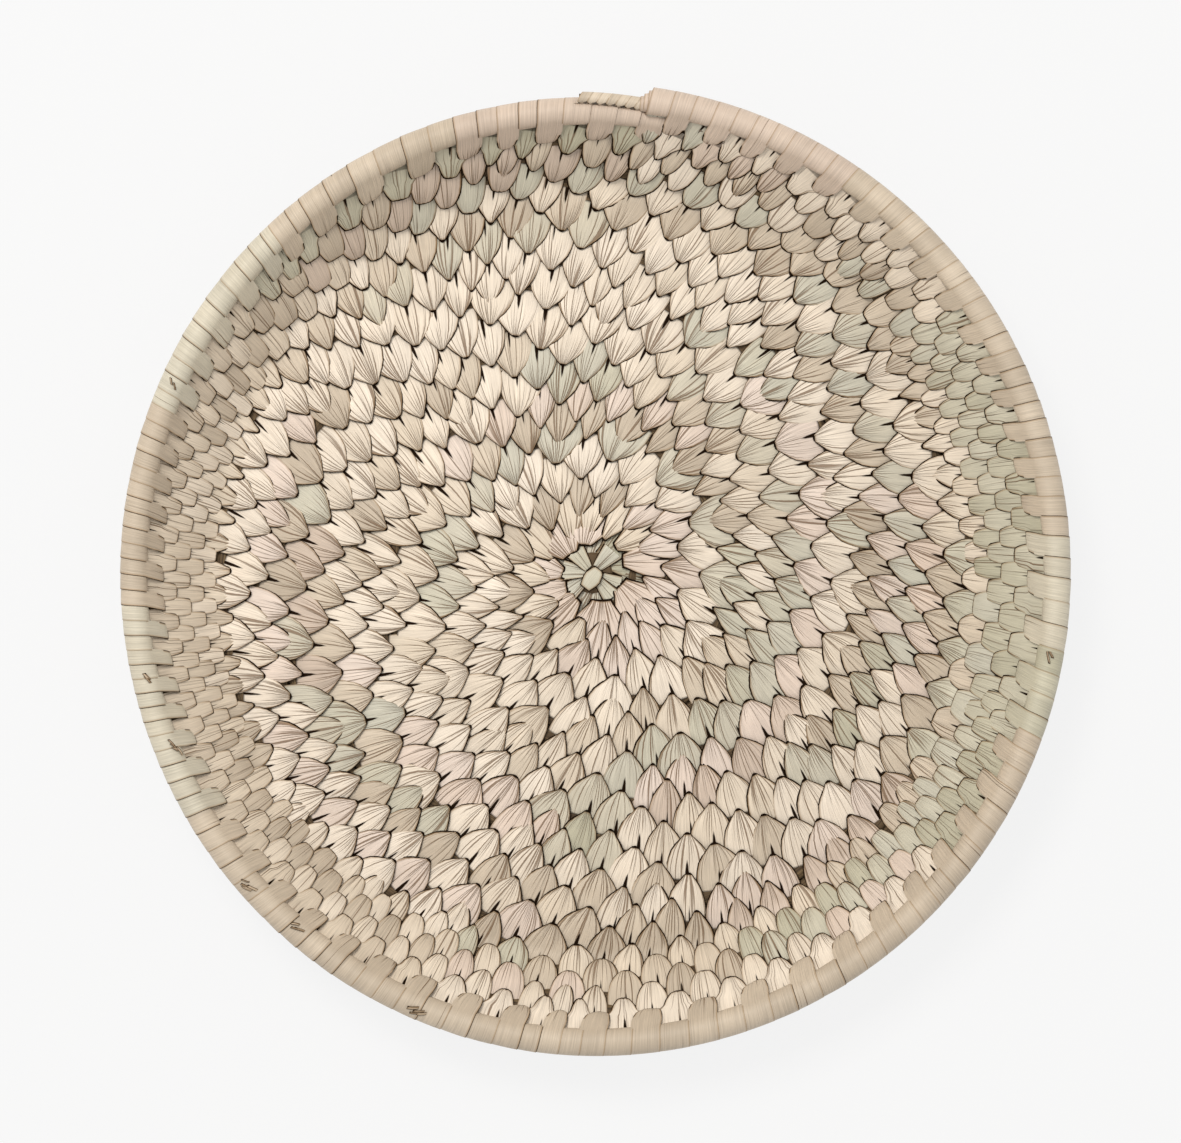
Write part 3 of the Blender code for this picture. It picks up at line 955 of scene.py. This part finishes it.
def plan_wraps(stitches):
    """Two wraps for every stitch of the last row, each as its angle, its half width in radians, and
    whether it goes down over the wall as a tab or only round the roll."""
    row_start = COIL_ANGLE - math.tau - LAST_ROW_MARGIN_RADIANS
    row = [stitch.angle for stitch in stitches if stitch.angle > row_start]
    row += [row[-1] + (row[-1] - row[-2]) * more for more in (1, 2)]
    on_roll = ROLL_LEAD_SHARE * math.pi / 2
    on_leg = LEG_LEAD_SHARE * (LEG_WAY_SHARE - math.pi / 2)
    climb = (on_roll + on_leg) * (ROLL_HALF + WRAP_DEPTH)
    lean_shift = (math.tan(WALL_LEAN) * ROW_PITCH + climb) / ROLL_RADIUS
    tabs = [(low + high) / 2 + math.tau - lean_shift for low, high in zip(row, row[1:])]
    middles = []
    for before, low, high in zip([2 * tabs[0] - tabs[1], *tabs], tabs, tabs[1:]):
        wider = max(high - low, low - before)
        middles += [(low, wider / 4, True), ((low + high) / 2, (high - low) / 4, False)]
    return middles


def close_roll(end, grid, weave):
    """Wraps from the last planned one to the roll's end, and on down to the tail."""
    tone = STRIP_TONES[-1]
    for step in range(3):
        angle = end + (step + 1) * CLOSING_SPACING / ROLL_RADIUS
        if angle < ROLL_END_ANGLE + CLOSING_REACH / ROLL_RADIUS:
            wind(Wrap(angle, CLOSING_HALF, False, roll_half(ROLL_END_ANGLE), ROLL_REACH, tone), grid, weave)
    tail_reach = tail_place(ROLL_END_ANGLE + SHOULDER_TAIL / ROLL_RADIUS)[0]
    for beyond, radius, taper, share in SHOULDER_WRAPS:
        angle = ROLL_END_ANGLE + beyond / ROLL_RADIUS
        reach = ROLL_REACH + (tail_reach - ROLL_REACH) * share
        shoulder = Wrap(angle, SHOULDER_HALF, False, radius, reach, tone)
        shoulder.taper, shoulder.lead, shoulder.step = taper, 0, SHOULDER_STEP
        wind(shoulder, grid, weave)


def rim_wraps(stitches):
    """The rim's strips, each with its wraps round the roll."""
    tab_grid = leaf_grid(4, 2 * LEG_STEPS + OVER_STEPS)
    plain_grid = leaf_grid(4, ROUND_STEPS)
    weaves = [Weave(f"rim_wraps_{strip + 1:02d}", slot) for strip, slot in enumerate(STRIP_SLOTS)]
    middles = plan_wraps(stitches)
    for angle, half_angle, tab in middles:
        strip = math.floor((angle - COIL_ANGLE) / math.tau * RIM_STRIPS)
        if 0 <= strip < RIM_STRIPS:
            bearing = math.degrees(LAP_ANGLE + angle) % 360
            patched = GREEN_PATCH[0] <= bearing <= GREEN_PATCH[1]
            tone = GREEN_PATCH_TONE if patched else STRIP_TONES[strip]
            half = half_angle * ROLL_RADIUS + WRAP_OVERLAP
            wrap = Wrap(angle, half, tab, roll_half(angle), coil_reach(angle), tone)
            wind(wrap, tab_grid if tab else plain_grid, weaves[strip])
    end = max(angle for angle, half_angle, tab in middles if angle < ROLL_END_ANGLE)
    close_roll(end, plain_grid, weaves[-1])
    for strip, weave in enumerate(weaves):
        weave.finish(LEAVES[weave.slot], (f"rim_strip_{strip + 1:02d}",))


rim_wraps(stitches)


def tail_binding():
    """A narrow strip wound closely round the tail, which leaves small holes along the roll, dark with
    painted shade.
    """
    grid = leaf_grid(2, ROUND_STEPS)
    weave = Weave("tail_binding", "cream")
    for step in range(round(TAIL_LENGTH / TAIL_WRAP)):
        angle = ROLL_END_ANGLE + (step + TAIL_START_SHARE) * TAIL_WRAP / ROLL_RADIUS
        reach, half = tail_place(angle)
        wrap = Wrap(angle, TAIL_HALF_SHARE * TAIL_WRAP, False, half + WRAP_DEPTH, reach)
        wrap.tone, wrap.lead, wrap.hole = chance.uniform(*TAIL_TONES), TAIL_LEAD_SHARE, TAIL_HOLE_SHARE
        wrap.step = chance.uniform(*TAIL_STEPS)
        wind(wrap, grid, weave)
    weave.finish(LEAVES["cream"], ("lap_binding",))


tail_binding()


# The folds of the knot, round its middle
KNOT_FOLDS = 6
KNOT_FOLD_LENGTHS = (8.5 * MM, 10.5 * MM)
KNOT_FOLD_HALVES = (4.2 * MM, 5.8 * MM)
KNOT_FOLD_STARTS = (2.0 * MM, 3.2 * MM)
KNOT_FOLD_TWISTS = (-0.35, 0.1)
KNOT_FOLD_LIFT = 4.5 * MM
KNOT_FOLD_FALL = 1.3 * MM
KNOT_FOLD_CROWN = 0.3 * MM
KNOT_FOLD_TILT = 0.5 * MM
KNOT_FOLD_PLEAT = 0.25 * MM
STRAND_STEP_MM = 40

# The one fold that lies on top of them
TOP_FOLD_TURN = math.radians(52)
TOP_FOLD_LENGTH = 10.5 * MM
TOP_FOLD_HALF = 4.2 * MM
TOP_FOLD_SOUTH = 2.4 * MM
TOP_FOLD_LIFT = 6.1 * MM
TOP_FOLD_CROWN = 0.5 * MM
TOP_FOLD_FALL = 1.6 * MM


def turned(ahead, aside, turn):
    """Places in plan, from how far they lie ahead along a direction and to its left."""
    return (
        ahead * math.cos(turn) - aside * math.sin(turn),
        ahead * math.sin(turn) + aside * math.cos(turn),
    )


def centre_folds():
    """The knot of folded leaf strips that the coil starts from: six short folds, and one on top."""
    grid = leaf_grid(PLEAT_COLUMNS - 1, len(STATION_SHARES))
    across, station, belly = grid.across, grid.station, grid.belly
    along = np.array(STATION_SHARES)[station]
    weave = Weave("centre_knot_folds", "green")
    for fold in range(KNOT_FOLDS):
        bearing = math.tau * (fold + chance.uniform(-0.25, 0.25)) / KNOT_FOLDS
        length = chance.uniform(*KNOT_FOLD_LENGTHS)
        half = chance.uniform(*KNOT_FOLD_HALVES)
        first = chance.uniform(*KNOT_FOLD_STARTS)
        wide = half * np.array(BLUNT_SHARES)[station]
        twist = chance.uniform(*KNOT_FOLD_TWISTS)
        out = first + along * length
        sideways = across * wide * (0.45 + 0.55 * along) + out * twist
        pleats = np.cos(across * math.pi * 3 + fold) * KNOT_FOLD_PLEAT
        lift = KNOT_FOLD_LIFT - KNOT_FOLD_FALL * along - KNOT_FOLD_CROWN * across**2
        lift = lift + KNOT_FOLD_TILT * across + pleats - STITCH_DEPTH * belly
        x, y = turned(out, sideways, bearing)
        points = np.stack((x, y, FOOT_DEPTH + lift), axis=-1)
        strand = np.stack((across * half, along * length), axis=-1) / MM + fold * STRAND_STEP_MM
        # Painted shadow line round each fold's edge
        edge = (1 - np.abs(across)) * wide / MM - 0.35
        looks = {"tone": chance.uniform(0, 0.7), "edge": edge, "crease": 0.55 * (1 - along)}
        weave.add(grid, points, strand, looks)
    from_middle = np.abs(along - 0.5)
    wide = TOP_FOLD_HALF * (1 - 0.8 * from_middle)
    ahead = (along - 0.5) * TOP_FOLD_LENGTH
    x, y = turned(ahead, across * wide, TOP_FOLD_TURN)
    lift = TOP_FOLD_LIFT - TOP_FOLD_CROWN * across**2 - TOP_FOLD_FALL * from_middle**2
    lift = lift - STITCH_DEPTH * belly
    points = np.stack((x, y - TOP_FOLD_SOUTH, FOOT_DEPTH + lift), axis=-1)
    strand = np.stack((across * TOP_FOLD_HALF, ahead), axis=-1) / MM
    # Painted shadow line round the top fold's edge
    edge = np.minimum((1 - np.abs(across)) * wide, (0.5 - from_middle) * TOP_FOLD_LENGTH) / MM
    weave.add(grid, points, strand, {"tone": 0.35, "edge": edge - 0.1})
    weave.finish(LEAVES["green"], ("centre_knot",))


centre_folds()


# Where the end of a strip shows on the roll in the photograph, in degrees, and how far over it
SPLICES = (
    (155.5, 0.75),
    (193.1, 0.8),
    (202.1, 0.1),
    (221.6, 0.9),
    (229.8, 0.7),
    (247.6, 1.2),
    (349.5, 0.6),
)
SHRED_COUNTS = (2, 4)
SHRED_HALVES = (0.35 * MM, 0.8 * MM)
SHRED_LENGTHS = (2.5 * MM, 5 * MM)
SHRED_SPACING = 1.4 * MM
SHRED_LIFT = 0.25 * MM
SHRED_ARCH = 0.5 * MM
SHRED_DEPTH = 0.3 * MM
SHRED_STRAND_MM = 30


def splice_ends():
    """The short dry ends of strips that stick out where one strip takes over from the next."""
    grid = leaf_grid(2, 6)
    across, along = grid.across, grid.station / grid.station.max()
    weave = Weave("splice_ends", "cream")
    for bearing, over in SPLICES:
        angle = COIL_ANGLE + (math.radians(bearing) - LAP_ANGLE) % math.tau
        for shred in range(chance.randint(*SHRED_COUNTS)):
            half = chance.uniform(*SHRED_HALVES)
            length = chance.uniform(*SHRED_LENGTHS)
            turn = math.pi / 2 - over + chance.uniform(-0.25, 0.25) + (along - 0.5) * 0.3
            scale = roll_half(angle) + SHRED_LIFT + SHRED_ARCH * np.sin(along * math.pi)
            scale = scale - SHRED_DEPTH * grid.belly
            ahead = (along - 0.5) * length + shred * SHRED_SPACING
            slanted = turn + across * half / scale
            reach = coil_reach(angle) + np.cos(slanted) * scale
            places = LAP_ANGLE + angle + ahead / ROLL_RADIUS
            points = surface(places, reach, np.sin(slanted) * scale)
            strand = np.stack((across * half, along * length), axis=-1) / MM + shred * SHRED_STRAND_MM
            # A thin painted shadow line along each end's edge
            edge = np.minimum((1 - np.abs(across)) * half, along * length) / MM + 0.15
            looks = {"tone": chance.uniform(0, 0.3), "edge": edge, "crease": 0.8}
            weave.add(grid, points, strand, looks)
    weave.finish(LEAVES["cream"])


splice_ends()


# The knot's solid middle
CORE_RADIUS = 9 * MM
CORE_HEIGHT = 6 * MM
CORE_MIDDLE = 3.1 * MM
CORE_BEVEL = 1.2 * MM


def knot_core():
    """The knot's solid middle below the folds, a low round of leaf ribs."""
    bpy.ops.object.select_all(action="DESELECT")
    bpy.ops.mesh.primitive_cylinder_add(
        vertices=24, radius=CORE_RADIUS, depth=CORE_HEIGHT, location=(0, 0, 0)
    )
    core = bpy.context.object
    only(core)
    core.name = "knot_core"
    bpy.ops.transform.translate(value=(0, 0, CORE_MIDDLE))
    bpy.ops.object.transform_apply(location=True)
    bpy.ops.object.modifier_add(type="BEVEL")
    core.modifiers[0].width = CORE_BEVEL
    bpy.ops.object.modifier_apply(modifier=core.modifiers[0].name)
    core.data.materials.append(RIBS)
    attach(core, "root")


knot_core()


# Camera, light and table
PHOTO_WIDTH_PX = 1181
RIM_SCALE = 0.4175 * MM
CAMERA_HEIGHT = 1.75
RIM_HEIGHT = 43 * MM
SENSOR = 36
TRAY_OFFSET_PX = (1.5, -1.5)
LIGHT_PLACE = (-0.55, 0.85, 1.9)
LIGHT_SIZE = 0.7
LIGHT_POWER = 27
STUDIO_STRENGTH = 0.70
TABLE_SIZE = 6
TABLE_ROUGHNESS = 0.7
TABLE_GLOW_SHARE = 0.9

camera_data = bpy.data.cameras.new("camera")
camera_data.sensor_width = SENSOR
camera_data.lens = SENSOR * (CAMERA_HEIGHT - RIM_HEIGHT) / (PHOTO_WIDTH_PX * RIM_SCALE)
camera = bpy.data.objects.new("camera", camera_data)
camera.location = (-TRAY_OFFSET_PX[0] * RIM_SCALE, -TRAY_OFFSET_PX[1] * RIM_SCALE, CAMERA_HEIGHT)
bpy.context.scene.collection.objects.link(camera)
bpy.context.scene.camera = camera

world = bpy.data.worlds.new("studio")
world.use_nodes = True
world.node_tree.nodes["Background"].inputs["Color"].default_value = hex_colour("#FFFFFF")
world.node_tree.nodes["Background"].inputs["Strength"].default_value = STUDIO_STRENGTH
bpy.context.scene.world = world


def soft_light(name, place, size, power, warmth):
    """A square studio light, turned to the tray."""
    lamp = bpy.data.lights.new(name, "AREA")
    lamp.size = size
    lamp.energy = power
    lamp.color = hex_colour(warmth)[:3]
    light = bpy.data.objects.new(name, lamp)
    light.location = place
    pointing = -light.location
    light.rotation_euler = pointing.to_track_quat("-Z", "Y").to_euler()
    bpy.context.scene.collection.objects.link(light)


soft_light("key_light", LIGHT_PLACE, LIGHT_SIZE, LIGHT_POWER, "#FFFBF5")

# The camera sees the table nearly evenly white, and the tray gets what light the table throws back
bpy.ops.object.select_all(action="DESELECT")
bpy.ops.mesh.primitive_plane_add(size=TABLE_SIZE)
floor = bpy.context.object
floor.name = "white_table"
table_finish, table_tree, table_shader = new_material("white_laminate", TABLE_ROUGHNESS)
table_shader.inputs["Base Color"].default_value = hex_colour("#F1F1F1")
seen = add_node(table_tree, "LightPath").outputs["Is Camera Ray"]
evenly = work_out(table_tree, "MULTIPLY", seen, TABLE_GLOW_SHARE)
glow = add_node(table_tree, "Emission", {"Color": hex_colour("#F7F7F7")})
blend = add_node(table_tree, "MixShader", {0: evenly, 1: table_shader.outputs[0], 2: glow.outputs[0]})
table_out = table_tree.nodes["Material Output"]
table_tree.links.new(blend.outputs[0], table_out.inputs["Surface"])
floor.data.materials.append(table_finish)

bpy.context.scene.view_settings.view_transform = "Standard"
